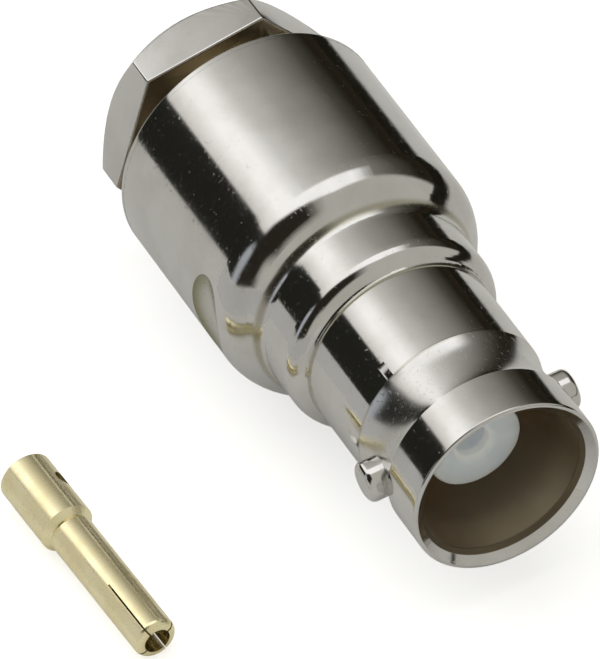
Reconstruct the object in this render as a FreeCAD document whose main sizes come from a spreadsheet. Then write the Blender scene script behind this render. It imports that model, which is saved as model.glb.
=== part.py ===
import FreeCAD, Part
import Sketcher
import math
import os

# A straight female BNC cable socket of the clamp type, with its loose centre contact.
# Millimetres. The connector's axis is X, the mouth face is at X = 0 and opens towards +X,
# the bayonet lugs are on +Y and -Y, and +Z is up.
# The socket lies on its large diameter, with its contact beside it on the same surface.
# A station is a place along the axis, so every station behind the mouth is negative.

doc = FreeCAD.newDocument("bnc_socket")
sheet = doc.addObject("Spreadsheet::Sheet", "Dimensions")
sheet.Label = "Dimensions"

# Driving dimensions: name, value, what it is.
driving = [
    # outside of the socket body, from the mouth backwards
    ("front_radius", "4.81", "mouth rim and barrel, to the bayonet standard"),
    ("front_length", "2.63", "mouth face to the waisted band"),
    ("front_round", "0.14", "outer edge of the mouth"),
    ("band_length", "2.89", "waisted band that carries the lugs"),
    ("band_waist", "0.26", "depth of the waist at its middle"),
    ("barrel_length", "4.86", "plain barrel behind the band"),
    ("groove_length", "0.1", "fine groove at the barrel's rear, along the axis"),
    ("groove_depth", "0.05", "depth of the fine groove"),
    ("foot_round", "0.3", "hollow between the fine groove and the second diameter's slope"),
    ("step_height", "0.7", "second diameter above the barrel"),
    ("step_slope", "55", "slope in front of the second diameter, to the axis, degrees"),
    ("step_round", "1.05", "round between that slope and the second diameter"),
    ("step_length", "2.327", "second diameter, from its round to the shoulder's foot"),
    ("root_round", "1.0", "hollow at the foot of the shoulder"),
    ("shoulder_slope", "45", "shoulder's slope to the axis, degrees"),
    ("shoulder_round", "2.6", "round between shoulder and large diameter"),
    ("shoulder_height", "1.314", "large diameter above the second one"),
    ("body_length", "26.0", "mouth face to the rear face"),
    ("body_chamfer", "0.12", "rear edge of the large diameter"),
    # lugs and cutter marks
    ("lug_radius", "1.0", "bayonet lug"),
    ("lug_setback", "3.85", "lug centre behind the mouth face"),
    ("lug_reach", "5.52", "axis to the lug's end"),
    ("lug_bevel", "0.32", "edge of the lug's end"),
    ("scallop_setback", "0.84", "mark in line with each lug, behind the front of the large diameter"),
    ("scallop_cutter", "2.07", "cutter radius of that mark"),
    ("scallop_depth", "0.46", "depth of that mark"),
    ("nick_cutter", "1.1", "cutter radius of the small marks behind the band"),
    ("nick_depth", "0.12", "depth of the small marks"),
    ("nick_overlap", "0.5", "small mark's centre behind the band's rear edge"),
    ("nick_width", "0.4", "small mark's width around the barrel"),
    ("side_nick_angle", "172", "first small mark, degrees about the axis"),
    ("upper_nick_angle", "124", "second small mark, degrees about the axis"),
    # inside of the socket body
    ("mouth_wall", "0.75", "wall around the bore that takes the plug's spring sleeve"),
    ("mouth_lead", "0.56", "lead-in chamfer at the mouth"),
    ("mouth_depth", "8.8", "mouth face to the web"),
    ("web_thickness", "1.6", "web between mouth and rear chamber"),
    ("chamber_step", "0.11", "rear chamber, which holds the insulators, below the mouth's bore"),
    ("clamp_seat_height", "0.81", "thread bore for the clamp nut above the chamber"),
    ("thread_depth", "0.43", "height of the fine thread, which the ring parts must pass"),
    ("thread_lead", "0.25", "lead-in chamfer at the rear"),
    # insulators
    ("nose_radius", "2.35", "white nose in the mouth"),
    ("nose_recess", "3.11", "mouth face to the nose's face"),
    ("nose_round", "0.12", "outer edge of the nose"),
    ("flange_length", "2.8", "front insulator's flange"),
    ("contact_lip_radius", "0.85", "hole that the plug's pin enters"),
    ("contact_lip_length", "0.4", "length of that hole"),
    ("contact_flare", "0.3", "flare in front of that hole"),
    ("cup_floor", "0.45", "rear insulator behind the contact's seat"),
    ("wire_hole_radius", "0.6", "hole for the cable's centre wire"),
    # centre contact
    ("contact_radius", "1.08", "slotted front part"),
    ("contact_length", "12.4", "whole contact"),
    ("contact_tip_round", "0.36", "rounded tip"),
    ("contact_bore_radius", "0.66", "bore for the plug's pin"),
    ("contact_bore_depth", "5.2", "depth of that bore"),
    ("cup_radius", "1.35", "big end with the solder cup"),
    ("cup_length", "4.0", "big end"),
    ("cup_taper", "0.27", "taper between big end and neck"),
    ("cup_edge", "0.08", "rear edge of the big end"),
    ("cup_bore_radius", "0.5", "solder cup's bore"),
    ("cup_bore_depth", "3.2", "solder cup's depth"),
    ("neck_step", "0.09", "neck below the front part"),
    ("neck_run", "0.18", "neck along the axis"),
    ("slot_width", "0.09", "saw cuts at the tip"),
    ("slot_length", "3.5", "saw cuts at the tip"),
    ("slot_angle", "25.6", "first saw cut, degrees about the contact"),
    ("peep_radius", "0.42", "inspection hole of the solder cup"),
    ("peep_station", "1.77", "inspection hole from the rear end"),
    ("peep_angle", "33", "inspection hole, degrees about the contact"),
    ("contact_setback", "17.8", "contact's rear end behind the mouth face"),
    ("contact_aside", "16.85", "contact's rear end to the side of the axis"),
    ("contact_heading", "3.2", "contact's direction on the surface, degrees"),
    # braid clamp, gasket and washer
    ("clamp_nose_length", "0.9", "tapered nose of the braid clamp"),
    ("clamp_flange_length", "0.7", "flange of the braid clamp"),
    ("clamp_bore_radius", "1.7", "hole for the cable's dielectric"),
    ("clamp_nose_play", "0.65", "front of the tapered nose, below the chamber's radius"),
    ("clamp_taper", "0.8", "radius gained along the nose, for each unit of length"),
    ("ridge_height", "0.45", "ridge above the flange"),
    ("ridge_margin", "0.36", "flat beside the ridge's foot, inside and outside"),
    ("gasket_length", "2.0", "gasket"),
    ("washer_thickness", "0.5", "slip washer"),
    ("ring_wall", "1.63", "gasket and washer, from the cable hole to their outside"),
    # clamp nut
    ("nut_gap", "1.87", "body's rear face to the hexagon, as far as the nut is unscrewed"),
    ("nut_shank_lead", "0.3", "chamfer at the shank's front"),
    ("hex_shoulder", "0.77", "hexagon's flats above the threaded shank"),
    ("hex_length", "2.92", "hexagon along the axis"),
    ("hex_front_edge", "0.07", "small break along the hexagon's front edges"),
    ("hex_angle", "7", "hexagon's corner, degrees about the axis"),
    ("hex_chamfer_inset", "0.5", "chamfer's start at a flat's middle, before the rear face"),
    ("cable_flare", "0.3", "flare of the cable hole at the rear"),
    # clearances
    ("bore_clearance", "0.05", "insulators and ring parts in their bores"),
    ("contact_clearance", "0.05", "contact's seat in the insulators"),
    ("thread_clearance", "0.06", "nut's shank in the thread bore"),
    ("stack_clearance", "0.03", "between the stacked inner pieces"),
    ("nose_clearance", "0.04", "insulator's nose in the web"),
    ("cutter_margin", "1.0", "how far a cutter runs past what it cuts"),
]

# Values worked out from the driving dimensions: name, formula.
derived = [
    ("mouth", "=0"),
    ("front_round_end", "=-front_round"),
    ("front_round_radius", "=front_radius - front_round"),
    ("mouth_bore_radius", "=front_radius - mouth_wall"),
    ("mouth_lead_radius", "=mouth_bore_radius + mouth_lead"),
    ("mouth_lead_end", "=-mouth_lead"),
    ("band_front", "=-front_length"),
    ("band_rear", "=band_front - band_length"),
    ("band_curve", "=(band_length * band_length / 4 + band_waist * band_waist) / (2 * band_waist)"),
    ("barrel_rear", "=band_rear - barrel_length"),
    ("groove_middle", "=barrel_rear - groove_length / 2"),
    ("groove_rear", "=barrel_rear - groove_length"),
    ("groove_radius", "=front_radius - groove_depth"),
    ("step_radius", "=front_radius + step_height"),
    ("step_cos", "=cos(step_slope * 1deg)"),
    ("step_sin", "=sin(step_slope * 1deg)"),
    ("foot_tangent", "=foot_round * tan(step_slope * 0.5deg)"),
    ("step_foot", "=groove_rear - foot_tangent"),
    ("foot_end", "=step_foot - foot_tangent * step_cos"),
    ("foot_end_radius", "=front_radius + foot_tangent * step_sin"),
    ("step_top_radius", "=step_radius - step_round * (1 - step_cos)"),
    ("step_top", "=step_foot - (step_top_radius - front_radius) * step_cos / step_sin"),
    ("step_front", "=step_top - step_round * step_sin"),
    ("slope_cos", "=cos(shoulder_slope * 1deg)"),
    ("slope_sin", "=sin(shoulder_slope * 1deg)"),
    ("root_tangent", "=root_round * tan(shoulder_slope * 0.5deg)"),
    ("step_end", "=step_front - step_length"),
    ("root_start", "=step_end + root_tangent"),
    ("root_end", "=step_end - root_tangent * slope_cos"),
    ("root_end_radius", "=step_radius + root_tangent * slope_sin"),
    ("body_radius", "=step_radius + shoulder_height"),
    ("shoulder_top_radius", "=body_radius - shoulder_round * (1 - slope_cos)"),
    ("shoulder_top", "=step_end - (shoulder_top_radius - step_radius) * slope_cos / slope_sin"),
    ("body_front", "=shoulder_top - shoulder_round * slope_sin"),
    ("body_rear", "=-body_length"),
    ("body_chamfer_start", "=body_rear + body_chamfer"),
    ("body_chamfer_radius", "=body_radius - body_chamfer"),
    ("chamber_radius", "=mouth_bore_radius - chamber_step"),
    ("thread_bore_radius", "=chamber_radius + clamp_seat_height"),
    ("thread_lead_radius", "=thread_bore_radius + thread_lead"),
    ("thread_lead_start", "=body_rear + thread_lead"),
    ("web_front", "=-mouth_depth"),
    ("web_rear", "=web_front - web_thickness"),
    ("web_hole_radius", "=nose_radius + nose_clearance"),
    ("nose_face", "=-nose_recess"),
    ("nose_round_end", "=nose_face - nose_round"),
    ("nose_face_radius", "=nose_radius - nose_round"),
    ("flange_radius", "=chamber_radius - bore_clearance"),
    ("flange_front", "=web_rear - stack_clearance"),
    ("flange_rear", "=flange_front - flange_length"),
    ("flare_radius", "=contact_lip_radius + contact_flare"),
    ("flare_end", "=nose_face - contact_flare"),
    ("lip_end", "=flare_end - contact_lip_length"),
    ("contact_seat_radius", "=contact_radius + contact_clearance"),
    ("cup_seat_radius", "=cup_radius + contact_clearance"),
    ("seated_tip", "=lip_end - contact_clearance"),
    ("cup_seat_front", "=seated_tip - contact_length + cup_length"),
    ("rear_insulator_front", "=flange_rear - stack_clearance"),
    ("cup_seat_rear", "=seated_tip - contact_length - contact_clearance"),
    ("rear_insulator_rear", "=cup_seat_rear - cup_floor"),
    ("clamp_seat", "=rear_insulator_rear - stack_clearance"),
    ("clamp_seat_rear", "=clamp_seat - clamp_seat_height"),
    ("ring_radius", "=thread_bore_radius - thread_depth - bore_clearance"),
    ("cable_hole_radius", "=ring_radius - ring_wall"),
    ("clamp_front", "=clamp_seat - stack_clearance"),
    ("clamp_nose_end", "=clamp_front - clamp_nose_length"),
    ("clamp_rear", "=clamp_nose_end - clamp_flange_length"),
    ("clamp_nose_radius", "=chamber_radius - clamp_nose_play"),
    ("clamp_taper_radius", "=clamp_nose_radius + clamp_nose_length * clamp_taper"),
    ("ridge_top", "=clamp_rear - ridge_height"),
    ("ridge_outer", "=ring_radius - ridge_margin"),
    ("ridge_inner", "=cable_hole_radius + ridge_margin"),
    ("ridge_radius", "=(ridge_outer + ridge_inner) / 2"),
    ("gasket_front", "=clamp_rear - stack_clearance"),
    ("gasket_groove", "=ridge_top - stack_clearance"),
    ("gasket_rear", "=gasket_front - gasket_length"),
    ("washer_front", "=gasket_rear - stack_clearance"),
    ("washer_rear", "=washer_front - washer_thickness"),
    ("shank_front", "=washer_rear - stack_clearance"),
    ("shank_radius", "=thread_bore_radius - thread_clearance"),
    ("shank_lead_end", "=shank_front - nut_shank_lead"),
    ("shank_lead_radius", "=shank_radius - nut_shank_lead"),
    ("hex_front", "=body_rear - nut_gap"),
    ("hex_rear", "=hex_front - hex_length"),
    ("hex_flat_radius", "=shank_radius + hex_shoulder"),
    ("hex_corner_radius", "=hex_flat_radius / cos(30deg)"),
    ("hex_chamfer_radius", "=hex_flat_radius - hex_chamfer_inset"),
    ("hex_chamfer_start", "=hex_rear + (hex_corner_radius - hex_chamfer_radius)"),
    ("cable_flare_radius", "=cable_hole_radius + cable_flare"),
    ("cable_flare_start", "=hex_rear + cable_flare"),
    ("blank_radius", "=hex_corner_radius + cutter_margin"),
    ("floor_height", "=-body_radius"),
    # lugs and cutter marks
    ("lug_station", "=-lug_setback"),
    ("lug_root", "=(mouth_bore_radius + front_radius) / 2"),
    ("lug_front", "=lug_station + lug_radius"),
    ("lug_bevel_front", "=lug_front - lug_bevel"),
    ("lug_bevel_reach", "=lug_reach - lug_bevel"),
    ("scallop_station", "=body_front - scallop_setback"),
    ("scallop_up", "=body_radius - scallop_depth + scallop_cutter"),
    ("scallop_span", "=2 * body_radius"),
    ("nick_station", "=band_rear - nick_overlap"),
    ("nick_up", "=front_radius - nick_depth + nick_cutter"),
    # centre contact, from its rear end towards its tip
    ("contact_rear", "=0"),
    ("contact_tip_start", "=contact_length - contact_tip_round"),
    ("contact_tip_radius", "=contact_radius - contact_tip_round"),
    ("contact_bore_end", "=contact_length - contact_bore_depth"),
    ("cup_edge_radius", "=cup_radius - cup_edge"),
    ("neck_end", "=cup_length + cup_taper"),
    ("neck_foot", "=neck_end + neck_run"),
    ("neck_foot_radius", "=contact_radius - neck_step"),
    ("contact_axis", "=0"),
    ("slot_end", "=contact_length - slot_length"),
    ("slot_past_tip", "=contact_length + cutter_margin"),
    ("slot_reach", "=contact_radius + cutter_margin"),
    ("slot_low", "=-slot_reach"),
    ("cross_slot_angle", "=slot_angle + 90"),
    ("peep_plane_angle", "=peep_angle - 90"),
    ("contact_tilt", "=atan((cup_radius - contact_radius) / (contact_tip_start - cup_length))"),
    ("contact_rear_x", "=-contact_setback"),
    ("contact_rear_y", "=-contact_aside"),
    ("contact_height", "=floor_height + cup_length * sin(contact_tilt) + cup_radius * cos(contact_tilt)"),
]

row = 1
for name, value, note in driving:
    sheet.set("A%d" % row, name)
    sheet.set("B%d" % row, value)
    sheet.set("C%d" % row, note)
    sheet.setAlias("B%d" % row, name)
    row += 1
for name, formula in derived:
    sheet.set("A%d" % row, name)
    sheet.set("B%d" % row, formula)
    sheet.setAlias("B%d" % row, name)
    row += 1
doc.recompute()


def size(name):
    """The value of one cell, as a plain number."""
    value = sheet.get(name)
    return float(getattr(value, "Value", value))


def origin_feature(body, role):
    """The body's own origin plane or axis, such as XY_Plane."""
    return [item for item in body.Origin.OriginFeatures if item.Role == role][0]


def new_body(label):
    body = doc.addObject("PartDesign::Body", label)
    body.Label = label
    return body


def new_sketch(body, name, plane, turn=0.0):
    """A sketch on one of the body's origin planes, turned about the X axis by some degrees."""
    sketch = body.newObject("Sketcher::SketchObject", name)
    sketch.AttachmentSupport = (origin_feature(body, plane), [""])
    sketch.MapMode = "FlatFace"
    if turn:
        sketch.AttachmentOffset = FreeCAD.Placement(
            FreeCAD.Vector(0, 0, 0), FreeCAD.Rotation(FreeCAD.Vector(1, 0, 0), turn))
    return sketch


def bind(sketch, index, expression):
    sketch.setExpression("Constraints[%d]" % index, expression)


def cell(name):
    return "<<Dimensions>>." + name


def outline(sketch, corners, arcs=None):
    """A closed outline through corners, each a pair of cell names: station and radius.

    arcs maps a corner's number to (cell of the arc's radius, bulge), for a round that starts
    at that corner and ends at the next one. A bulge of 1 turns to the left of the path, -1 to
    the right.
    """
    arcs = arcs or {}
    points = [FreeCAD.Vector(size(station), size(radius), 0) for station, radius in corners]
    count = len(points)
    for number in range(count):
        start = points[number]
        end = points[(number + 1) % count]
        if number in arcs:
            arc_radius, bulge = arcs[number]
            sketch.addGeometry(round_between(start, end, size(arc_radius), bulge), False)
        else:
            sketch.addGeometry(Part.LineSegment(start, end), False)
    # Each corner's end of one edge meets the start of the next and is held by its two cells.
    for number in range(count):
        start_end = point_ends(arcs, number)
        next_number = (number + 1) % count
        next_end = point_ends(arcs, next_number)
        sketch.addConstraint(Sketcher.Constraint(
            "Coincident", number, start_end[1], next_number, next_end[0]))
    for number, (station, radius) in enumerate(corners):
        first = point_ends(arcs, number)[0]
        index = sketch.addConstraint(Sketcher.Constraint(
            "DistanceX", -1, 1, number, first, size(station)))
        bind(sketch, index, cell(station))
        index = sketch.addConstraint(Sketcher.Constraint(
            "DistanceY", -1, 1, number, first, size(radius)))
        bind(sketch, index, cell(radius))
        if number in arcs:
            index = sketch.addConstraint(Sketcher.Constraint("Radius", number, size(arcs[number][0])))
            bind(sketch, index, cell(arcs[number][0]))


def point_ends(arcs, number):
    """Which point of edge number is its start and which its end, as the outline runs."""
    if number in arcs and arcs[number][1] < 0:
        return (2, 1)
    return (1, 2)


def round_between(start, end, radius, bulge):
    """The shorter arc of one radius between two points, on the chosen side of the chord."""
    chord = end - start
    middle = (start + end) * 0.5
    rise = math.sqrt(max(radius * radius - chord.Length * chord.Length / 4, 0.0))
    left = FreeCAD.Vector(-chord.y, chord.x, 0).normalize()
    centre = middle + left * (rise * bulge)
    first = math.atan2(start.y - centre.y, start.x - centre.x)
    last = math.atan2(end.y - centre.y, end.x - centre.x)
    circle = Part.Circle(centre, FreeCAD.Vector(0, 0, 1), radius)
    if bulge > 0:
        return Part.ArcOfCircle(circle, first, last)
    return Part.ArcOfCircle(circle, last, first)


def turn(body, name, corners, arcs=None):
    """A turned solid: the closed outline taken once round the X axis."""
    sketch = new_sketch(body, name + "Outline", "XY_Plane")
    outline(sketch, corners, arcs)
    feature = body.newObject("PartDesign::Revolution", name)
    feature.Profile = sketch
    feature.ReferenceAxis = (sketch, ["H_Axis"])
    feature.Angle = 360
    doc.recompute()
    return feature


def circle(sketch, radius_name, across_name, up_name=None):
    """A circle with its centre and radius held by cells. Without up_name it is on the axis."""
    up = size(up_name) if up_name else 0.0
    number = sketch.addGeometry(Part.Circle(
        FreeCAD.Vector(size(across_name), up, 0), FreeCAD.Vector(0, 0, 1), size(radius_name)), False)
    index = sketch.addConstraint(Sketcher.Constraint("Radius", number, size(radius_name)))
    bind(sketch, index, cell(radius_name))
    index = sketch.addConstraint(Sketcher.Constraint(
        "DistanceX", -1, 1, number, 3, size(across_name)))
    bind(sketch, index, cell(across_name))
    if up_name:
        index = sketch.addConstraint(Sketcher.Constraint(
            "DistanceY", -1, 1, number, 3, up))
        bind(sketch, index, cell(up_name))
    else:
        sketch.addConstraint(Sketcher.Constraint("PointOnObject", number, 3, -1))
    return number


def turned_plane(sketch, angle_name):
    """Keeps the sketch turned about the X axis by the cell's degrees."""
    sketch.setExpression("AttachmentOffset.Rotation.Angle", cell(angle_name) + " * 1deg")


def cut(body, name, sketch, length_name, midplane=True, reverse=False):
    """A straight cut of the sketch through the body, to both sides or to one."""
    feature = body.newObject("PartDesign::Pocket", name)
    feature.Profile = sketch
    feature.Midplane = midplane
    feature.Reversed = reverse
    feature.Length = size(length_name)
    feature.setExpression("Length", cell(length_name))
    doc.recompute()
    return feature


def repeat_opposite(body, name, features):
    """The same features again, half a turn about the X axis away."""
    pattern = body.newObject("PartDesign::PolarPattern", name)
    pattern.Originals = features
    pattern.Axis = (origin_feature(body, "X_Axis"), [""])
    pattern.Angle = 360
    pattern.Occurrences = 2
    body.Tip = pattern
    doc.recompute()
    return pattern


def edges_where(feature, wanted):
    """Names of the feature's edges that pass a test."""
    return ["Edge%d" % (number + 1) for number, edge in enumerate(feature.Shape.Edges) if wanted(edge)]


# Socket body: one turned piece with the lugs left standing and the marks cut in.
socket = new_body("socket_body")
turn(socket, "SocketTurning", [
    ("mouth", "mouth_lead_radius"),
    ("mouth", "front_round_radius"),
    ("front_round_end", "front_radius"),
    ("band_front", "front_radius"),
    ("band_rear", "front_radius"),
    ("barrel_rear", "front_radius"),
    ("groove_middle", "groove_radius"),
    ("groove_rear", "front_radius"),
    ("foot_end", "foot_end_radius"),
    ("step_top", "step_top_radius"),
    ("step_front", "step_radius"),
    ("root_start", "step_radius"),
    ("root_end", "root_end_radius"),
    ("shoulder_top", "shoulder_top_radius"),
    ("body_front", "body_radius"),
    ("body_chamfer_start", "body_radius"),
    ("body_rear", "body_chamfer_radius"),
    ("body_rear", "thread_lead_radius"),
    ("thread_lead_start", "thread_bore_radius"),
    ("clamp_seat_rear", "thread_bore_radius"),
    ("clamp_seat", "chamber_radius"),
    ("web_rear", "chamber_radius"),
    ("web_rear", "web_hole_radius"),
    ("web_front", "web_hole_radius"),
    ("web_front", "mouth_bore_radius"),
    ("mouth_lead_end", "mouth_bore_radius"),
], {1: ("front_round", 1), 3: ("band_curve", -1), 7: ("foot_round", -1), 9: ("step_round", 1),
    11: ("root_round", -1), 13: ("shoulder_round", 1)})

# Each lug is turned about its own axis, so that the bevel of its end is in its outline.
lug_sketch = new_sketch(socket, "LugOutline", "XY_Plane")
outline(lug_sketch, [
    ("lug_station", "lug_root"),
    ("lug_front", "lug_root"),
    ("lug_front", "lug_bevel_reach"),
    ("lug_bevel_front", "lug_reach"),
    ("lug_station", "lug_reach"),
])
lug_axis = lug_sketch.addGeometry(Part.LineSegment(
    FreeCAD.Vector(size("lug_station"), 0, 0),
    FreeCAD.Vector(size("lug_station"), size("lug_reach"), 0)), True)
lug_sketch.addConstraint(Sketcher.Constraint("Vertical", lug_axis))
lug_sketch.addConstraint(Sketcher.Constraint("PointOnObject", lug_axis, 1, -1))
index = lug_sketch.addConstraint(Sketcher.Constraint(
    "DistanceY", lug_axis, 1, lug_axis, 2, size("lug_reach")))
bind(lug_sketch, index, cell("lug_reach"))
index = lug_sketch.addConstraint(Sketcher.Constraint("DistanceX", -1, 1, lug_axis, 1, size("lug_station")))
bind(lug_sketch, index, cell("lug_station"))
lug = socket.newObject("PartDesign::Revolution", "Lug")
lug.Profile = lug_sketch
lug.ReferenceAxis = (lug_sketch, ["Axis0"])
lug.Angle = 360
doc.recompute()
repeat_opposite(socket, "Lugs", [lug])

scallop_sketch = new_sketch(socket, "ScallopCutter", "XY_Plane")
circle(scallop_sketch, "scallop_cutter", "scallop_station", "scallop_up")
scallop = cut(socket, "Scallop", scallop_sketch, "scallop_span")
repeat_opposite(socket, "Scallops", [scallop])

nicks = []
for name, angle_name in (("SideNick", "side_nick_angle"), ("UpperNick", "upper_nick_angle")):
    nick_sketch = new_sketch(socket, name + "Cutter", "XY_Plane", size(angle_name))
    turned_plane(nick_sketch, angle_name)
    circle(nick_sketch, "nick_cutter", "nick_station", "nick_up")
    nicks.append(cut(socket, name, nick_sketch, "nick_width"))
repeat_opposite(socket, "Nicks", nicks)

# Front insulator: the white nose in the mouth, and the flange that the web holds.
front_insulator = new_body("front_insulator")
turn(front_insulator, "FrontInsulatorTurning", [
    ("nose_face", "flare_radius"),
    ("nose_face", "nose_face_radius"),
    ("nose_round_end", "nose_radius"),
    ("flange_front", "nose_radius"),
    ("flange_front", "flange_radius"),
    ("flange_rear", "flange_radius"),
    ("flange_rear", "cup_seat_radius"),
    ("cup_seat_front", "cup_seat_radius"),
    ("cup_seat_front", "contact_seat_radius"),
    ("lip_end", "contact_seat_radius"),
    ("lip_end", "contact_lip_radius"),
    ("flare_end", "contact_lip_radius"),
], {1: ("nose_round", 1)})

# Rear insulator: a thick disc whose recess takes the contact's big end.
rear_insulator = new_body("rear_insulator")
turn(rear_insulator, "RearInsulatorTurning", [
    ("rear_insulator_front", "cup_seat_radius"),
    ("rear_insulator_front", "flange_radius"),
    ("rear_insulator_rear", "flange_radius"),
    ("rear_insulator_rear", "wire_hole_radius"),
    ("cup_seat_rear", "wire_hole_radius"),
    ("cup_seat_rear", "cup_seat_radius"),
])

# Braid clamp: a tapered nose for the braid, a flange, and a ridge that bites the gasket.
braid_clamp = new_body("braid_clamp")
turn(braid_clamp, "BraidClampTurning", [
    ("clamp_front", "clamp_bore_radius"),
    ("clamp_front", "clamp_nose_radius"),
    ("clamp_nose_end", "clamp_taper_radius"),
    ("clamp_nose_end", "ring_radius"),
    ("clamp_rear", "ring_radius"),
    ("clamp_rear", "ridge_outer"),
    ("ridge_top", "ridge_radius"),
    ("clamp_rear", "ridge_inner"),
    ("clamp_rear", "clamp_bore_radius"),
])

# Gasket: a rubber ring whose V groove sits on the clamp's ridge.
gasket = new_body("gland_gasket")
turn(gasket, "GasketSection", [
    ("gasket_front", "cable_hole_radius"),
    ("gasket_front", "ridge_inner"),
    ("gasket_groove", "ridge_radius"),
    ("gasket_front", "ridge_outer"),
    ("gasket_front", "ring_radius"),
    ("gasket_rear", "ring_radius"),
    ("gasket_rear", "cable_hole_radius"),
])

# Slip washer, between the gasket and the turning nut.
washer = new_body("slip_washer")
turn(washer, "WasherSection", [
    ("washer_front", "cable_hole_radius"),
    ("washer_front", "ring_radius"),
    ("washer_rear", "ring_radius"),
    ("washer_rear", "cable_hole_radius"),
])

# Clamp nut: turned blank with the rear chamfer, then milled to a hexagon.
nut = new_body("clamp_nut")
turn(nut, "NutTurning", [
    ("shank_front", "cable_hole_radius"),
    ("shank_front", "shank_lead_radius"),
    ("shank_lead_end", "shank_radius"),
    ("hex_front", "shank_radius"),
    ("hex_front", "hex_corner_radius"),
    ("hex_chamfer_start", "hex_corner_radius"),
    ("hex_rear", "hex_chamfer_radius"),
    ("hex_rear", "cable_flare_radius"),
    ("cable_flare_start", "cable_hole_radius"),
])
hex_sketch = nut.newObject("Sketcher::SketchObject", "HexagonOutline")
hex_sketch.AttachmentSupport = (origin_feature(nut, "YZ_Plane"), [""])
hex_sketch.MapMode = "FlatFace"
hex_sketch.AttachmentOffset = FreeCAD.Placement(
    FreeCAD.Vector(0, 0, size("hex_front")), FreeCAD.Rotation(FreeCAD.Vector(0, 0, 1), size("hex_angle")))
hex_sketch.setExpression("AttachmentOffset.Base.z", cell("hex_front") + " * 1mm")
turned_plane(hex_sketch, "hex_angle")
sides = 6
ring = hex_sketch.addGeometry(Part.Circle(
    FreeCAD.Vector(0, 0, 0), FreeCAD.Vector(0, 0, 1), size("hex_corner_radius")), True)
corner = [FreeCAD.Vector(size("hex_corner_radius") * math.cos(2 * math.pi * number / sides),
                         size("hex_corner_radius") * math.sin(2 * math.pi * number / sides), 0)
          for number in range(sides)]
edges = [hex_sketch.addGeometry(Part.LineSegment(corner[number], corner[(number + 1) % sides]), False)
         for number in range(sides)]
hex_sketch.addConstraint(Sketcher.Constraint("Coincident", ring, 3, -1, 1))
index = hex_sketch.addConstraint(Sketcher.Constraint("Radius", ring, size("hex_corner_radius")))
bind(hex_sketch, index, cell("hex_corner_radius"))
for number in range(sides):
    hex_sketch.addConstraint(Sketcher.Constraint(
        "Coincident", edges[number], 2, edges[(number + 1) % sides], 1))
    hex_sketch.addConstraint(Sketcher.Constraint("PointOnObject", edges[number], 1, ring))
for number in range(1, sides):
    hex_sketch.addConstraint(Sketcher.Constraint("Equal", edges[0], edges[number]))
hex_sketch.addConstraint(Sketcher.Constraint("PointOnObject", edges[0], 1, -1))
waste = hex_sketch.addGeometry(Part.Circle(
    FreeCAD.Vector(0, 0, 0), FreeCAD.Vector(0, 0, 1), size("blank_radius")), False)
hex_sketch.addConstraint(Sketcher.Constraint("Coincident", waste, 3, -1, 1))
index = hex_sketch.addConstraint(Sketcher.Constraint("Radius", waste, size("blank_radius")))
bind(hex_sketch, index, cell("blank_radius"))
hexagon = cut(nut, "Hexagon", hex_sketch, "hex_length", midplane=False)

def is_hexagon_front(edge):
    """True for the six front edges of the hexagon, which run from corner to corner."""
    near = 1e-4
    return len(edge.Vertexes) == 2 and all(
        abs(vertex.X - size("hex_front")) < near
        and abs(math.hypot(vertex.Y, vertex.Z) - size("hex_corner_radius")) < near
        for vertex in edge.Vertexes)


edge_break = nut.newObject("PartDesign::Chamfer", "HexagonEdgeBreak")
edge_break.Base = (hexagon, edges_where(hexagon, is_hexagon_front))
edge_break.Size = size("hex_front_edge")
edge_break.setExpression("Size", cell("hex_front_edge"))
nut.Tip = edge_break
doc.recompute()

# Centre contact: turned along its own axis from the solder cup to the tip, slotted and drilled,
# then laid on the surface beside the socket, resting on its big end's edge and its tip.
contact = new_body("centre_contact")
turn(contact, "ContactTurning", [
    ("contact_length", "contact_bore_radius"),
    ("contact_length", "contact_tip_radius"),
    ("contact_tip_start", "contact_radius"),
    ("neck_foot", "contact_radius"),
    ("neck_end", "neck_foot_radius"),
    ("cup_length", "cup_radius"),
    ("cup_edge", "cup_radius"),
    ("contact_rear", "cup_edge_radius"),
    ("contact_rear", "cup_bore_radius"),
    ("cup_bore_depth", "cup_bore_radius"),
    ("cup_bore_depth", "contact_axis"),
    ("contact_bore_end", "contact_axis"),
    ("contact_bore_end", "contact_bore_radius"),
], {1: ("contact_tip_round", 1)})
for name, angle_name in (("SawCut", "slot_angle"), ("CrossSawCut", "cross_slot_angle")):
    slot_sketch = new_sketch(contact, name + "Outline", "XY_Plane", size(angle_name))
    turned_plane(slot_sketch, angle_name)
    outline(slot_sketch, [
        ("slot_end", "slot_low"),
        ("slot_past_tip", "slot_low"),
        ("slot_past_tip", "slot_reach"),
        ("slot_end", "slot_reach"),
    ])
    cut(contact, name, slot_sketch, "slot_width")
peep_sketch = new_sketch(contact, "PeepCutter", "XY_Plane", size("peep_plane_angle"))
turned_plane(peep_sketch, "peep_plane_angle")
circle(peep_sketch, "peep_radius", "peep_station")
cut(contact, "Peep", peep_sketch, "slot_reach", midplane=False, reverse=True)
contact.setExpression("Placement", (
    "placement(vector({x}; {y}; {z}); rotation(vector(0; 0; 1); {heading} * 1deg)"
    " * rotation(vector(0; 1; 0); {tilt}))").format(
        x=cell("contact_rear_x"), y=cell("contact_rear_y"), z=cell("contact_height"),
        heading=cell("contact_heading"), tilt=cell("contact_tilt")))
doc.recompute()

bodies = [socket, front_insulator, rear_insulator, braid_clamp, gasket, washer, nut, contact]

for item in doc.Objects:
    if "Invalid" in item.State or "Error" in item.State:
        raise RuntimeError("%s did not build" % item.Label)
for body in bodies:
    if body.Shape.isNull() or not body.Shape.isValid():
        raise RuntimeError("%s has no valid solid" % body.Label)
    if len(body.Shape.Solids) != 1:
        raise RuntimeError("%s is not one solid" % body.Label)

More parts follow.
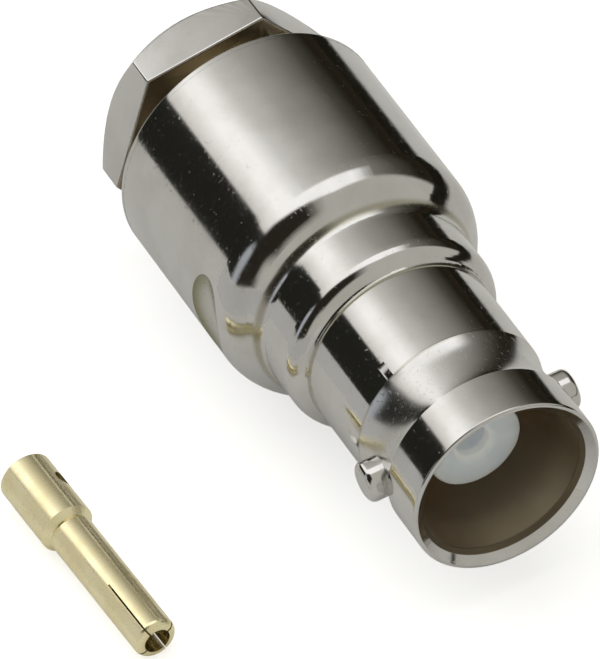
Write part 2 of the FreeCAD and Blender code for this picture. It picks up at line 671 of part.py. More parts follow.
os.makedirs("parts", exist_ok=True)
for body in bodies:
    body.Shape.exportStep("parts/%s.step" % body.Label)
    box = body.Shape.optimalBoundingBox(False)
    print("%-16s volume %8.3f  X %.3f to %.3f  Y %.3f to %.3f  Z %.3f to %.3f" % (
        body.Label, body.Shape.Volume, box.XMin, box.XMax, box.YMin, box.YMax, box.ZMin, box.ZMax))
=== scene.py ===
import math

import bmesh
import bpy
import numpy as np
from mathutils import Matrix, Vector


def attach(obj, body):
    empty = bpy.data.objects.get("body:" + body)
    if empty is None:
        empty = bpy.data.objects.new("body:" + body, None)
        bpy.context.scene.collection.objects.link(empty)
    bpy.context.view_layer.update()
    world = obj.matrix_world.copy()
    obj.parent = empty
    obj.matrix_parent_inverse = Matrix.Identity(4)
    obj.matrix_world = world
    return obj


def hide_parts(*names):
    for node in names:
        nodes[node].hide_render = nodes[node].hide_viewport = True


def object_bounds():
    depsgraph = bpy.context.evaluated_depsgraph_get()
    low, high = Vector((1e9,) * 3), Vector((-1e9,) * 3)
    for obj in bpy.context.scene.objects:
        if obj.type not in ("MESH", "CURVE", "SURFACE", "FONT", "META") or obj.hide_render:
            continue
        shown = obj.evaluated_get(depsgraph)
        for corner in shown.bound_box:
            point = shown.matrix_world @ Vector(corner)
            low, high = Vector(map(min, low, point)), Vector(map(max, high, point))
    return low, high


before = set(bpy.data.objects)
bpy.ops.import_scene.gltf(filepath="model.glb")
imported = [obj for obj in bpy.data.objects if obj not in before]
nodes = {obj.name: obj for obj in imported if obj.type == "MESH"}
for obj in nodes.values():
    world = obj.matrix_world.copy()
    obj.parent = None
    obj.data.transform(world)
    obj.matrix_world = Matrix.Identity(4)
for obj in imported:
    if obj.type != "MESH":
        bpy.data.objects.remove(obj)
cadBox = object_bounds()
scene = bpy.context.scene
print("stage: frame loaded,", len(nodes), "nodes")


# Small helpers for node trees

def shaderOf(tree):
    return next(n for n in tree.nodes if n.type == "BSDF_PRINCIPLED")


def newMaterial(name):
    material = bpy.data.materials.new(name)
    material.use_nodes = True
    return material, material.node_tree, shaderOf(material.node_tree)


def addNode(tree, kind, place=(0, 0), **values):
    node = tree.nodes.new(kind)
    node.location = place
    for name, value in values.items():
        setattr(node, name, value)
    return node


# Links another node's socket to this one, or sets a plain value on it
def feed(tree, value, socket):
    if isinstance(value, bpy.types.NodeSocket):
        tree.links.new(value, socket)
    else:
        socket.default_value = value


def setSockets(node, values):
    for name, value in values.items():
        node.inputs[name].default_value = value


def addMath(tree, operation, a, b=None, place=(0, 0), clamp=False):
    node = addNode(tree, "ShaderNodeMath", place, operation=operation, use_clamp=clamp)
    feed(tree, a, node.inputs[0])
    if b is not None:
        feed(tree, b, node.inputs[1])
    return node.outputs[0]


# Product of two or more values
def multiply(tree, first, *others):
    for other in others:
        first = addMath(tree, "MULTIPLY", first, other)
    return first


# Distance of a value from a middle, to either side
def addAway(tree, value, middle):
    return addMath(tree, "ABSOLUTE", addMath(tree, "SUBTRACT", value, middle))


# Length across a right angle: the root of the sum of both squares
def addLength(tree, a, b):
    return addMath(tree, "SQRT", addMath(tree, "ADD", multiply(tree, a, a), multiply(tree, b, b)))


# Stretches a value's run from low to high over another run
def spread(tree, value, low, high, toLow=0, toHigh=1, place=(0, 0), shape="LINEAR"):
    node = addNode(tree, "ShaderNodeMapRange", place, interpolation_type=shape)
    tree.links.new(value, node.inputs["Value"])
    setSockets(node, {"From Min": low, "From Max": high, "To Min": toLow, "To Max": toHigh})
    return node.outputs[0]


def mixColour(tree, factor, first, second, place=(0, 0)):
    mix = addNode(tree, "ShaderNodeMix", place, data_type="RGBA")
    tree.links.new(factor, mix.inputs["Factor"])
    for number, colour in ((6, first), (7, second)):  # the node's two colour inputs
        if not isinstance(colour, bpy.types.NodeSocket):
            colour = (*colour, 1)
        feed(tree, colour, mix.inputs[number])
    return mix.outputs[2]


def addRamp(tree, source, stops, place=(0, 0)):
    ramp = addNode(tree, "ShaderNodeValToRGB", place)
    elements = ramp.color_ramp.elements
    while len(elements) < len(stops):
        elements.new(0.5)
    for element, (position, colour) in zip(elements, stops):
        element.position = position
        element.color = (*colour, 1.0)
    tree.links.new(source, ramp.inputs["Fac"])
    return ramp.outputs["Color"]


def addBump(tree, shader, height, strength, distance=0.00001):
    bump = addNode(tree, "ShaderNodeBump", (-300, -300))
    setSockets(bump, {"Strength": strength, "Distance": distance})
    tree.links.new(height, bump.inputs["Height"])
    tree.links.new(bump.outputs[0], shader.inputs["Normal"])


# X, Y and Z of a place on a piece, or of a direction in the world
def splitPlace(tree, kind="Object", place=(-2000, 700)):
    coordinates = addNode(tree, "ShaderNodeTexCoord", place)
    split = addNode(tree, "ShaderNodeSeparateXYZ", (place[0] + 200, place[1]))
    tree.links.new(coordinates.outputs[kind], split.inputs[0])
    return split.outputs


# Fades from 1 inside an ellipse to 0 outside it: the distance from its centre, measured in half
# sizes, stretched over a soft rim
def ellipseMask(tree, x, y, values, rim):
    along, across, halfAlong, halfAcross = values
    u = addMath(tree, "DIVIDE", addMath(tree, "SUBTRACT", x, along), halfAlong)
    v = addMath(tree, "DIVIDE", addMath(tree, "SUBTRACT", y, across), halfAcross)
    return spread(tree, addLength(tree, u, v), 1 + rim, 1 - rim)


# Light: a long soft overhead bank that runs along the connector, a white window in front of it,
# pale surroundings ahead of the mouth, and the dark shapes of the near side and of the camera.
# Directions are given by their share along the connector (X) and across it (Y).

lightBank = {
    "edge": 137.0,  # where the bank ends, degrees from the right-hand horizon over the top
    "bank": [  # share of the half turn over the top, and the colour there
        (0.0, (0.028, 0.022, 0.014)),
        (0.06, (0.02, 0.016, 0.01)),
        (0.15, (0.09, 0.085, 0.07)),
        (0.255, (0.27, 0.265, 0.24)),
        (0.39, (0.5, 0.49, 0.455)),
        (0.52, (0.87, 0.86, 0.83)),
        (0.61, (1.42, 1.41, 1.39)),
        (0.665, (1.45, 1.44, 1.42)),
    ],
    "bankEnd": [  # the same, with the share counted from the edge
        (-0.02, (1.0, 0.98, 0.95)),
        (0.0, (0.9, 0.87, 0.83)),
        (0.006, (0.02, 0.02, 0.016)),
    ],
    "ahead": (0.6, 0.59, 0.54),
    "aheadFrom": (0.0, 0.13),
    "window": (1.42, 1.42, 1.42),
    "windowFrom": (-0.36, -0.25),
    "windowTo": (0.27, 0.17),
    "windowSide": (0.08, 0.5, 0.1),  # centre, half width and soft rim across the connector
    "windowBend": (0.2, 0.25),  # where the front rim reaches furthest, and how much it draws back
    "cameraLeft": (-0.62, -0.05, -0.06, 0.2),  # left rim along the connector, by the share across
    "cameraRight": (-0.8, -0.65, 0.5, 0.63),
    "cameraRims": (0.08, 0.07),  # softness of the left and of the right rim
    "cameraTip": (0.02, -0.22),
    "cameraAbove": (0.0, 0.02),
    "cameraColour": (0.028, 0.024, 0.018),
    "gap": (-0.15, -0.93, 0.13, 0.09),  # light gap in the dark near side, as an ellipse
    "gapRim": 0.3,
    "gapColour": (0.52, 0.55, 0.6),
}


def makeWorld(values):
    world = bpy.data.worlds.new("studioSky")
    scene.world = world
    world.use_nodes = True
    tree = world.node_tree
    tree.nodes.clear()
    x, y, z = splitPlace(tree, "Generated", (-1200, 0))
    angle = addMath(tree, "ARCTAN2", z, y, (-800, 0))
    turn = addMath(tree, "DIVIDE", angle, math.pi, (-600, 0), clamp=True)
    edge = values["edge"] / 180
    steps = values["bank"] + [(edge + past, colour) for past, colour in values["bankEnd"]]
    bank = addRamp(tree, turn, steps, (-400, 0))
    ahead = spread(tree, x, *values["aheadFrom"], shape="SMOOTHSTEP")
    colour = mixColour(tree, ahead, bank, values["ahead"], (-200, 0))

    # the window: past its rear rim, and no further from its middle than its half width
    middle, half, soft = values["windowSide"]
    rear = spread(tree, x, *values["windowFrom"], shape="SMOOTHSTEP")
    beside = spread(tree, addAway(tree, y, middle), half + soft, half - soft)
    # its front rim draws back by a share of the distance from where it reaches furthest
    furthest, share = values["windowBend"]
    bent = addMath(tree, "ADD", x, multiply(tree, addAway(tree, y, furthest), share))
    front = spread(tree, bent, *values["windowTo"], shape="SMOOTHSTEP")
    window = multiply(tree, rear, beside, front)
    colour = mixColour(tree, window, colour, values["window"], (0, 0))

    # the camera and its stand: between a left and a right rim that both move with the share across
    left = addMath(tree, "SUBTRACT", x, spread(tree, y, *values["cameraLeft"]))
    right = addMath(tree, "SUBTRACT", spread(tree, y, *values["cameraRight"]), x)
    softLeft, softRight = values["cameraRims"]
    camera = multiply(
        tree,
        spread(tree, left, -softLeft, softLeft, shape="SMOOTHSTEP"),
        spread(tree, right, -softRight, softRight, shape="SMOOTHSTEP"),
        spread(tree, y, *values["cameraTip"]),
        spread(tree, z, *values["cameraAbove"]),
    )
    colour = mixColour(tree, camera, colour, values["cameraColour"], (200, 0))
    gap = ellipseMask(tree, x, y, values["gap"], values["gapRim"])
    colour = mixColour(tree, gap, colour, values["gapColour"], (400, 0))

    # white to the camera
    rays = addNode(tree, "ShaderNodeLightPath", (-400, 400))
    background = addNode(tree, "ShaderNodeBackground", (600, 0))
    white = addNode(tree, "ShaderNodeBackground", (600, 200))
    mix = addNode(tree, "ShaderNodeMixShader", (800, 0))
    output = addNode(tree, "ShaderNodeOutputWorld", (1000, 0))
    white.inputs["Color"].default_value = (1, 1, 1, 1)
    tree.links.new(colour, background.inputs["Color"])
    tree.links.new(rays.outputs["Is Camera Ray"], mix.inputs[0])
    tree.links.new(background.outputs[0], mix.inputs[1])
    tree.links.new(white.outputs[0], mix.inputs[2])
    tree.links.new(mix.outputs[0], output.inputs["Surface"])


makeWorld(lightBank)
scene.view_settings.view_transform = "Standard"
print("stage: light")


# Floor under the connector, white to the camera and far weaker in reflections

floorValues = {
    "halfSize": 2.0,
    "colour": (0.9, 0.9, 0.88),
    "roughness": 0.9,
    "cameraGlow": 0.62,
    "glossyGlow": 0.05,
    "darkFrom": (0.038, 0.054),  # further to the right than this, metres, it reflects as dark
    "darkColour": (0.02, 0.018, 0.012),
}


# One flat four-cornered piece
def addSheet(name, corners, material):
    mesh = bpy.data.meshes.new(name)
    mesh.from_pydata(corners, [], [(0, 1, 2, 3)])
    mesh.materials.append(material)
    sheet = bpy.data.objects.new(name, mesh)
    scene.collection.objects.link(sheet)
    return sheet


def makeFloor(values):
    material, tree, shader = newMaterial("paleFloor")
    setSockets(shader, {
        "Roughness": values["roughness"],
        "Specular IOR Level": 0.0,
        "Emission Color": (1, 1, 1, 1),
    })
    rays = addNode(tree, "ShaderNodeLightPath", (-1200, 300)).outputs
    acrossFloor = splitPlace(tree, "Object", (-1200, 0))["Y"]
    far = spread(tree, acrossFloor, *values["darkFrom"], shape="SMOOTHSTEP")
    dark = multiply(tree, far, rays["Is Glossy Ray"])
    colour = mixColour(tree, dark, values["colour"], values["darkColour"], (-400, 0))
    tree.links.new(colour, shader.inputs["Base Color"])
    # the whole glow to the camera, a small share of it to glossy and transmission rays, and none
    # where the floor reflects as dark
    other = addMath(tree, "ADD", rays["Is Glossy Ray"], rays["Is Transmission Ray"])
    weak = multiply(tree, other, values["glossyGlow"] / values["cameraGlow"])
    both = addMath(tree, "ADD", rays["Is Camera Ray"], weak)
    pale = addMath(tree, "SUBTRACT", 1.0, dark)
    glow = multiply(tree, both, pale, values["cameraGlow"])
    tree.links.new(glow, shader.inputs["Emission Strength"])
    half, low = values["halfSize"], cadBox[0][2]
    corners = [(-half, -half, low), (half, -half, low), (half, half, low), (-half, half, low)]
    floor = addSheet("floor", corners, material)


makeFloor(floorValues)
print("stage: floor")


# Low pale card to the left of the contact, seen only in reflections. It takes away the dark line
# that the near side would draw along the gold.

cardValues = {
    "left": -0.026,
    "rear": -0.034,
    "front": 0.012,
    "lift": 0.0001,  # over the floor
    "top": 0.0025,
    "colour": (1, 0.99, 0.96),
    "glow": 0.56,
}


def makeCard(values):
    material, _, shader = newMaterial("cardGlow")
    setSockets(shader, {
        "Base Color": (0, 0, 0, 1),
        "Roughness": 1,
        "Specular IOR Level": 0,
        "Emission Color": (*values["colour"], 1),
        "Emission Strength": values["glow"],
    })
    rear, front, left, top = (values[name] for name in ("rear", "front", "left", "top"))
    low = cadBox[0][2] + values["lift"]
    corners = [(rear, left, low), (front, left, low), (front, left, top), (rear, left, top)]
    card = addSheet("lowCard", corners, material)
    card.visible_camera = False
    card.visible_diffuse = False
    card.visible_shadow = False
    card.visible_transmission = False


makeCard(cardValues)
print("stage: card")


# Camera at the photograph's viewing angle

cameraValues = {
    "place": (0.290486, -0.117351, 0.338542),
    "right": (0.4572, 0.8820, -0.1146),
    "up": (-0.6082, 0.4040, 0.6832),
    "lens": 550.4,
    "sensor": 36,
    "clipStart": 0.01,
}


def makeCamera(values):
    right = Vector(values["right"]).normalized()
    back = right.cross(Vector(values["up"])).normalized()
    up = back.cross(right)
    data = bpy.data.cameras.new("camera")
    data.sensor_width = values["sensor"]
    data.lens = values["lens"]
    data.clip_start = values["clipStart"]
    camera = bpy.data.objects.new("camera", data)
    turn = Matrix((right, up, back)).transposed().to_4x4()
    camera.matrix_world = Matrix.Translation(values["place"]) @ turn
    scene.collection.objects.link(camera)
    scene.camera = camera


makeCamera(cameraValues)
print("stage: camera")


# Marks that the surfaces share: fine lines around the axis, wear in blotches, and specks, each a
# noise over the piece's own coordinates

turnedValues = {
    "stretch": (9000, 60, 60),  # the lines lie close together along the axis and run long across it
    "lineDetail": 3,
    "wearDetail": 5,
    "speckDetail": 2,
    "speckScale": 5200,
}


def makeTurnedGroup(values):
    group = bpy.data.node_groups.new("turnedLines", "ShaderNodeTree")
    for name, start in (("Scale", 1), ("Blotch", 300)):
        socket = group.interface.new_socket(name, in_out="INPUT", socket_type="NodeSocketFloat")
        socket.default_value = start
    for name in ("Lines", "Wear", "Specks"):
        group.interface.new_socket(name, in_out="OUTPUT", socket_type="NodeSocketFloat")
    given = addNode(group, "NodeGroupInput", (-900, 0)).outputs
    out = addNode(group, "NodeGroupOutput", (0, 0)).inputs
    plain = addNode(group, "ShaderNodeTexCoord", (-900, 300)).outputs["Object"]
    stretch = addNode(group, "ShaderNodeMapping", (-700, 300))
    stretch.inputs["Scale"].default_value = values["stretch"]
    group.links.new(plain, stretch.inputs["Vector"])
    for name, vector, scale, detail, height in (
        ("Lines", stretch.outputs[0], given["Scale"], values["lineDetail"], 300),
        ("Wear", plain, given["Blotch"], values["wearDetail"], 0),
        ("Specks", plain, values["speckScale"], values["speckDetail"], -300),
    ):
        noise = addNode(group, "ShaderNodeTexNoise", (-500, height))
        noise.inputs["Detail"].default_value = detail
        group.links.new(vector, noise.inputs["Vector"])
        feed(group, scale, noise.inputs["Scale"])
        group.links.new(noise.outputs["Fac"], out[name])
    return group


turnedLines = makeTurnedGroup(turnedValues)


def placeMarks(tree, values):
    node = addNode(tree, "ShaderNodeGroup", (-1100, 0))
    node.node_tree = turnedLines
    setSockets(node, {"Scale": values["lineScale"], "Blotch": values["blotch"]})
    return node.outputs


# Noise values between which a plating's dull colour, roughness and haze set in
wearSpans = {
    "colour": (0.42, 0.62),
    "rough": (0.35, 0.7),
    "haze": (0.6, 0.76),
}


def makeMetal(name, values):
    material, tree, shader = newMaterial(name)
    marks = placeMarks(tree, values)
    wear = spread(tree, marks["Wear"], *wearSpans["colour"], place=(-800, 0))
    colour = mixColour(tree, wear, values["colour"], values["dull"], (-500, 200))
    smooth, rough = values["smooth"], values["rough"]
    rough = spread(tree, marks["Wear"], *wearSpans["rough"], smooth, rough, (-500, 0))
    haze = spread(tree, marks["Specks"], *wearSpans["haze"], 0, values["haze"], (-500, -150))
    tree.links.new(colour, shader.inputs["Base Color"])
    tree.links.new(addMath(tree, "ADD", rough, haze, (-350, 0)), shader.inputs["Roughness"])
    shader.inputs["Metallic"].default_value = 1
    addBump(tree, shader, marks["Lines"], values["lineStrength"])
    return material


nickelPlate = makeMetal("nickelPlate", {
    "colour": (0.62, 0.61, 0.59),
    "dull": (0.57, 0.56, 0.535),
    "smooth": 0.07,
    "rough": 0.13,
    "haze": 0.2,
    "lineScale": 1.0,
    "lineStrength": 0.12,
    "blotch": 420,
})

goldPlate = makeMetal("goldPlate", {
    "colour": (0.96, 0.87, 0.57),
    "dull": (0.9, 0.8, 0.49),
    "smooth": 0.2,
    "rough": 0.3,
    "haze": 0.12,
    "lineScale": 1.0,
    "lineStrength": 0.25,
    "blotch": 900,
})


# A copy of the nickel plating, with what feeds its colour and its roughness
def copyNickel(name):
    material = nickelPlate.copy()
    material.name = name
    tree = material.node_tree
    shader = shaderOf(tree)
    colour = shader.inputs["Base Color"].links[0].from_socket
    rough = shader.inputs["Roughness"].links[0].from_socket
    return material, tree, shader, colour, rough


# Plating on the turned body: dull and brown in the bore, duller and darker brown in the inner
# corners at the feet of the steps, which is painted shade, and olive towards the rims of the two
# milled marks beside the lugs, which is a painted dark reflection

bodyMarksAndShade = {
    "corners": [  # place along the connector, reach to each side, share
        (-0.0141, 0.00028, 0.6),
        (-0.01047, 0.0002, 0.6),
        (-0.00552, 0.00012, 0.3),
    ],
    "cornerCore": 0.2,  # share of the reach that is as dull as it gets
    "cornerShadeColour": (0.3, 0.27, 0.17),
    "cornerRough": 0.22,
    "waist": (-0.004075, 0.00144, 0.1),  # middle, reach to each side, added roughness
    "waistCore": 0.8,
    "waistRadius": (0.0048, 0.00478),
    "boreRadius": (0.00427, 0.00425),
    "boreEnd": (-0.009, -0.0089),
    "boreColours": ((0.67, 0.56, 0.41), (0.53, 0.43, 0.3)),
    "boreWear": (0.35, 0.65),
    "boreRough": (0.4, 0.5),
    "leadColour": (0.13, 0.105, 0.07),
    "leadFrom": (-0.00066, -0.00054),
    "cutterPlace": (-0.01723, 0.008434),  # along the connector, and beside it
    "cutterRadius": (0.00209, 0.002075),
    "milledHeight": (0.00636, 0.00682),  # distance from the axis in a mark's middle and at its rims
    "milledRimReflection": [
        (0.0, (0.6, 0.59, 0.55)),
        (0.35, (0.5, 0.49, 0.43)),
        (0.7, (0.33, 0.32, 0.23)),
        (1.0, (0.24, 0.23, 0.15)),
    ],
    "milledRough": 0.1,
}


def makeBodyNickel(values):
    material, tree, shader, colour, rough = copyNickel("bodyNickel")
    wear = next(n for n in tree.nodes if n.type == "GROUP").outputs["Wear"]
    x, y, z = splitPlace(tree)
    radius = addLength(tree, y, z)

    # painted shade: darker, browner and rougher in the inner corners at the feet of the steps
    corner = 0.0
    for place, reach, share in values["corners"]:
        core = reach * values["cornerCore"]
        here = spread(tree, addAway(tree, x, place), reach, core, 0, share, shape="SMOOTHSTEP")
        corner = addMath(tree, "MAXIMUM", here, corner)
    colour = mixColour(tree, corner, colour, values["cornerShadeColour"])
    rough = addMath(tree, "ADD", rough, multiply(tree, corner, values["cornerRough"]))

    middle, reach, share = values["waist"]
    near = spread(tree, addAway(tree, x, middle), reach, reach * values["waistCore"], 0, share)
    inside = spread(tree, radius, *values["waistRadius"])
    rough = addMath(tree, "ADD", rough, multiply(tree, near, inside))

    # a milled mark is where the surface lies no further from the cutter's axis than its radius
    along, beside = values["cutterPlace"]
    fromCutter = addLength(
        tree,
        addMath(tree, "SUBTRACT", x, along),
        addMath(tree, "SUBTRACT", addMath(tree, "ABSOLUTE", y), beside),
    )
    milled = spread(tree, fromCutter, *values["cutterRadius"])
    # painted dark olive reflection, darker towards the rims of each milled mark
    shade = addRamp(tree, spread(tree, radius, *values["milledHeight"]), values["milledRimReflection"])
    colour = mixColour(tree, milled, colour, shade)
    rough = addMath(tree, "ADD", rough, multiply(tree, milled, values["milledRough"]))

    # the bore is where the surface is near the axis and in front of the bore's end
    bore = multiply(
        tree,
        spread(tree, radius, *values["boreRadius"]),
        spread(tree, x, *values["boreEnd"]),
    )
    brown = mixColour(tree, wear, *values["boreColours"])
    brown = mixColour(tree, spread(tree, x, *values["leadFrom"]), brown, values["leadColour"])
    dull = spread(tree, wear, *values["boreWear"], *values["boreRough"])
    outside = addMath(tree, "SUBTRACT", 1.0, bore)
    rough = addMath(tree, "ADD", multiply(tree, rough, outside), multiply(tree, dull, bore))
    tree.links.new(mixColour(tree, bore, colour, brown), shader.inputs["Base Color"])
    tree.links.new(rough, shader.inputs["Roughness"])
    return material


bodyNickel = makeBodyNickel(bodyMarksAndShade)


# Nut's plating: brown, darker and dull on all that lies in front of its hexagon, which is the
# thread and the face that looks at the body: painted shade of the gap between the nut and the body

nutGapShading = {
    "gapShadeFrom": (-0.02792, -0.02788),
    "colour": (0.4, 0.34, 0.24),
    "rough": 0.2,
}


def makeNutNickel(values):
    material, tree, shader, colour, rough = copyNickel("nutNickel")
    gapShade = spread(tree, splitPlace(tree)["X"], *values["gapShadeFrom"])
    # painted shade: brown on the thread and the hexagon's front face, in the gap before the body
    colour = mixColour(tree, gapShade, colour, values["colour"])
    rough = addMath(tree, "ADD", rough, multiply(tree, gapShade, values["rough"]))
    tree.links.new(colour, shader.inputs["Base Color"])
    tree.links.new(rough, shader.inputs["Roughness"])
    return material


nutNickel = makeNutNickel(nutGapShading)


# White insulators, waxy, with a painted glow in the nose's hole that stands in for the light the
# plastic passes on

ptfeValues = {
    "lineScale": 0.6,
    "blotch": 700,
    "colours": ((0.79, 0.87, 1.0), (0.73, 0.81, 0.95)),
    "wear": (0.4, 0.65),
    "roughness": 0.42,
    "depth": (0.0011, 0.0011, 0.0012),
    "depthShare": 0.9,
    "holeRadius": (0.00125, 0.00108),
    "holeFrom": (-0.00312, -0.0033),
    "holeGlowColour": (0.085, 0.073, 0.052),
    "lineStrength": 0.3,
}


def makePtfe(values):
    material, tree, shader = newMaterial("whitePtfe")
    marks = placeMarks(tree, values)
    wear = spread(tree, marks["Wear"], *values["wear"], place=(-800, 0))
    colour = mixColour(tree, wear, *values["colours"], (-500, 200))
    tree.links.new(colour, shader.inputs["Base Color"])
    setSockets(shader, {
        "Roughness": values["roughness"],
        "Subsurface Weight": values["depthShare"],
        "Subsurface Radius": values["depth"],
        "Subsurface Scale": 1.0,
        "Emission Strength": 1.0,
    })
    x, y, z = splitPlace(tree, "Object", (-1600, -600))
    inside = multiply(
        tree,
        spread(tree, addLength(tree, y, z), *values["holeRadius"]),
        spread(tree, x, *values["holeFrom"]),
    )
    # painted glow: emission inside the nose's hole, which is no lamp
    light = mixColour(tree, inside, (0, 0, 0), values["holeGlowColour"], (-200, -600))
    tree.links.new(light, shader.inputs["Emission Color"])
    addBump(tree, shader, marks["Lines"], values["lineStrength"])
    return material


# Black rubber gasket

rubberValues = {
    "lineScale": 0.3,
    "blotch": 1500,
    "colours": ((0.03, 0.03, 0.03), (0.06, 0.058, 0.055)),
    "roughness": 0.7,
    "grain": 0.4,
    "grainDepth": 0.00002,
}


def makeRubber(values):
    material, tree, shader = newMaterial("blackRubber")
    marks = placeMarks(tree, values)
    colour = mixColour(tree, marks["Wear"], *values["colours"], (-500, 200))
    tree.links.new(colour, shader.inputs["Base Color"])
    shader.inputs["Roughness"].default_value = values["roughness"]
    addBump(tree, shader, marks["Wear"], values["grain"], values["grainDepth"])
    return material


whitePtfe = makePtfe(ptfeValues)
blackRubber = makeRubber(rubberValues)

finishOf = {
    "socket_body": bodyNickel,
    "front_insulator": whitePtfe,
    "rear_insulator": whitePtfe,
    "braid_clamp": nickelPlate,
    "gland_gasket": blackRubber,
    "slip_washer": nickelPlate,
    "centre_contact": goldPlate,
}

for nodeName, finish in finishOf.items():
    for slot in nodes[nodeName].material_slots:
        slot.material = finish
print("stage: materials")


def setFinish(piece, material):
    piece.data.materials.clear()
    piece.data.materials.append(material)


# New pieces that turn about the connector's axis: angles go down the rows of a grid, and the
# profile's points along its columns

def anglesAround(count):
    return np.linspace(0, 2 * np.pi, count, endpoint=False)[:, None]


# A point lies at its X, and beside the axis by its radius times the cosine and sine of its angle
def turnPoints(x, radius, angle):
    radius = np.broadcast_to(radius, (len(angle), radius.shape[-1]))
    x = np.broadcast_to(x, radius.shape)
    return np.stack([x, radius * np.cos(angle), radius * np.sin(angle)], -1)


# Joins a grid of points into quads, closed around the axis and, if asked, along the profile
def gridPiece(name, points, closeProfile):
    rows, columns = points.shape[:2]
    index = np.arange(rows * columns).reshape(rows, columns)
    used = columns if closeProfile else columns - 1
    r, c = np.meshgrid(np.arange(rows), np.arange(used), indexing="ij")
    r2, c2 = (r + 1) % rows, (c + 1) % columns
    quads = np.stack([index[r, c], index[r, c2], index[r2, c2], index[r2, c]], -1).reshape(-1, 4)
    mesh = bpy.data.meshes.new(name)
    mesh.from_pydata(points.reshape(-1, 3).tolist(), [], quads.tolist())
    mesh.update()
    piece = bpy.data.objects.new(name, mesh)
    scene.collection.objects.link(piece)
    return piece


# Clamp nut: the CAD nut with its shank turned down to the thread's root, and the thread itself

nutValues = {
    "root": 0.00438,
    "crest": 0.0047,
    "pitch": 0.00079375,
    "front": -0.0211,
    "rear": -0.02783,
    "inner": 0.0042,
    "around": 160,
    "perTurn": 12,
    "flank": 2.2,  # steepness of the thread's flanks
    "sink": 0.00001,  # how far the thread's root lies under the shank
    "shank": (0.985, 1.01),  # the CAD shank's radius, as shares of the crest's
    "shankPast": 0.0002,
    "merge": 2e-7,
    "sharp": 30,
    "edge": 0.00008,
    "edgeSteps": 2,
    "edgeAngle": 28,
}


# A copy of a CAD node with its loose triangles joined
def mergedCopy(source, name, distance, sharp):
    mesh = source.data.copy()
    mesh.name = name
    joined = bmesh.new()
    joined.from_mesh(mesh)
    bmesh.ops.remove_doubles(joined, verts=joined.verts, dist=distance)
    joined.to_mesh(mesh)
    joined.free()
    mesh.shade_smooth()
    mesh.set_sharp_from_angle(angle=math.radians(sharp))
    piece = bpy.data.objects.new(name, mesh)
    scene.collection.objects.link(piece)
    return piece


# Breaks the sharp edges of a copy, as tumbling does
def breakEdges(piece, width, segments, angle):
    bevel = piece.modifiers.new("edges", "BEVEL")
    bevel.width = width
    bevel.segments = segments
    bevel.limit_method = "ANGLE"
    bevel.angle_limit = math.radians(angle)
    bevel.use_clamp_overlap = True
    bevel.harden_normals = True
    bpy.context.view_layer.update()
    shown = piece.evaluated_get(bpy.context.evaluated_depsgraph_get())
    mesh = bpy.data.meshes.new_from_object(shown)
    piece.modifiers.clear()
    piece.data = mesh


def makeNutBlank(values):
    piece = mergedCopy(nodes["clamp_nut"], "clampNutBlank", values["merge"], values["sharp"])
    mesh = piece.data
    points = np.empty(len(mesh.vertices) * 3, np.float32)
    mesh.vertices.foreach_get("co", points)
    points = points.reshape(-1, 3)
    radius = np.hypot(points[:, 1], points[:, 2])
    low, high = values["shank"]
    onShank = (radius > values["crest"] * low) & (radius < values["crest"] * high)
    onShank &= points[:, 0] > values["rear"] - values["shankPast"]
    points[onShank, 1:] *= (values["root"] / radius[onShank])[:, None]
    mesh.vertices.foreach_set("co", points.ravel())
    mesh.update()
    breakEdges(piece, values["edge"], values["edgeSteps"], values["edgeAngle"])
    return piece


# A closed ring. The outer side's radius is a trapezoid wave of the distance along the axis less
# the angle's share of the pitch, faded out at both ends, and the inner side is a plain cylinder.
def makeNutThread(values):
    root, crest, pitch = values["root"], values["crest"], values["pitch"]
    front, rear = values["front"], values["rear"]
    along = np.linspace(rear, front, int((front - rear) / pitch * values["perTurn"]) + 1)
    angle = anglesAround(values["around"])
    phase = (along[None, :] / pitch - angle / (2 * np.pi)) % 1.0
    wave = np.clip((0.5 - np.abs(phase * 2 - 1)) * values["flank"] + 0.5, 0, 1)
    fade = np.clip(np.minimum(along - rear, front - along) / pitch, 0, 1)
    outer = root + (crest - root) * wave * fade[None, :] - values["sink"]
    inner = np.full_like(outer, values["inner"])
    radius = np.hstack([outer, inner[:, ::-1]])
    x = np.concatenate([along, along[::-1]])[None, :]
    piece = gridPiece("clampNutThread", turnPoints(x, radius, angle), closeProfile=True)
    piece.data.shade_smooth()
    return piece


for piece in (makeNutBlank(nutValues), makeNutThread(nutValues)):
    setFinish(piece, nutNickel)
    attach(piece, "nut")
    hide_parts("clamp_nut")
print("stage: clamp nut")


# Smooth skins over the mouth's rim, the rear rim and the two lugs, a few thousandths of a
# millimetre proud of the CAD surface

rimValues = {
    "proud": 0.000003,
    "radius": 0.00481,
    "round": 0.00014,
    "lead": 0.00056,
    "bore": 0.00406,
    "rear": -0.00255,
    "boreRear": -0.0009,
    "straightSteps": 7,
    "bodyRadius": 0.006824,
    "bodyRear": -0.026,
    "rearRound": 0.00013,
    "rearProud": 0.000002,
    "rearReach": (2.5, 2),  # how far the rear skin runs forwards and inwards, in rounds
    "around": 256,
    "roundSteps": 10,
    "sharp": 30,
}

lugValues = {
    "proud": 0.000004,
    "place": -0.00385,
    "radius": 0.001,
    "reach": 0.00552,
    "foot": 0.0042,
    "tip": 0.00001,
    "round": 0.00034,
    "around": 64,
    "roundSteps": 12,
    "sharp": 30,
}


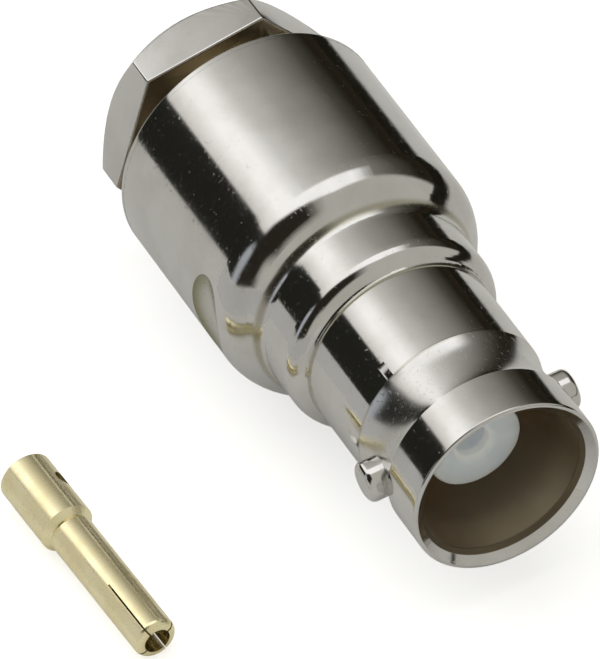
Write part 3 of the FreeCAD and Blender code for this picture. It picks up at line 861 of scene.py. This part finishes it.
# Turns a profile about the X axis, open at both ends
def turnProfile(name, profile, values):
    points = turnPoints(profile[None, :, 0], profile[None, :, 1], anglesAround(values["around"]))
    piece = gridPiece(name, points, closeProfile=False)
    piece.data.shade_smooth()
    piece.data.set_sharp_from_angle(angle=math.radians(values["sharp"]))
    return piece


# Points of an arc: its centre, and its radius times the cosine and the sine of the angle
def arcPoints(centre, radius, start, end, steps):
    angle = np.radians(np.linspace(start, end, steps + 1))
    return np.stack([centre[0] + radius * np.cos(angle), centre[1] + radius * np.sin(angle)], -1)


def makeRim(values):
    proud, edge, steps = values["proud"], values["round"], values["straightSteps"]
    outer = values["radius"] + proud
    corner = arcPoints((proud - edge, outer - edge), edge, 90, 0, values["roundSteps"])
    straight = np.linspace(values["rear"], corner[0, 0], steps + 1)[:-1]
    profile = np.vstack([
        np.stack([straight, np.full(steps, outer)], -1),
        corner,
        [(proud, values["bore"] + values["lead"])],
        [(proud - values["lead"], values["bore"] - proud)],
        [(values["boreRear"], values["bore"] - proud)],
    ])
    return turnProfile("mouthRim", profile, values)


def makeRearRim(values):
    outer = values["bodyRadius"] + values["rearProud"]
    rear = values["bodyRear"] - values["rearProud"]
    edge = values["rearRound"]
    forwards, inwards = values["rearReach"]
    corner = arcPoints((rear + edge, outer - edge), edge, 90, 180, values["roundSteps"])
    ends = [(rear + edge * forwards, outer)], [(rear, outer - edge * inwards)]
    profile = np.vstack([ends[0], corner, ends[1]])
    return turnProfile("rearRim", profile[::-1], values)


# The lug is turned about X, then given a quarter turn about Z and moved out to its place
def makeLug(values, name, side):
    radius = values["radius"] + values["proud"]
    reach = values["reach"] + values["proud"]
    edge = values["round"]
    corner = arcPoints((reach - edge, radius - edge), edge, 90, 0, values["roundSteps"])
    profile = np.vstack([[(values["foot"], radius)], corner, [(reach, values["tip"])]])
    lug = turnProfile(name, profile, values)
    turn = Matrix.Rotation(math.radians(90 * side), 4, "Z")
    lug.data.transform(Matrix.Translation((values["place"], 0, 0)) @ turn)
    return lug


skins = [
    makeRim(rimValues),
    makeRearRim(rimValues),
    makeLug(lugValues, "lugLeft", -1),
    makeLug(lugValues, "lugRight", 1),
]
for piece in skins:
    setFinish(piece, bodyNickel)
    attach(piece, "socket")
print("stage: rims and lugs")
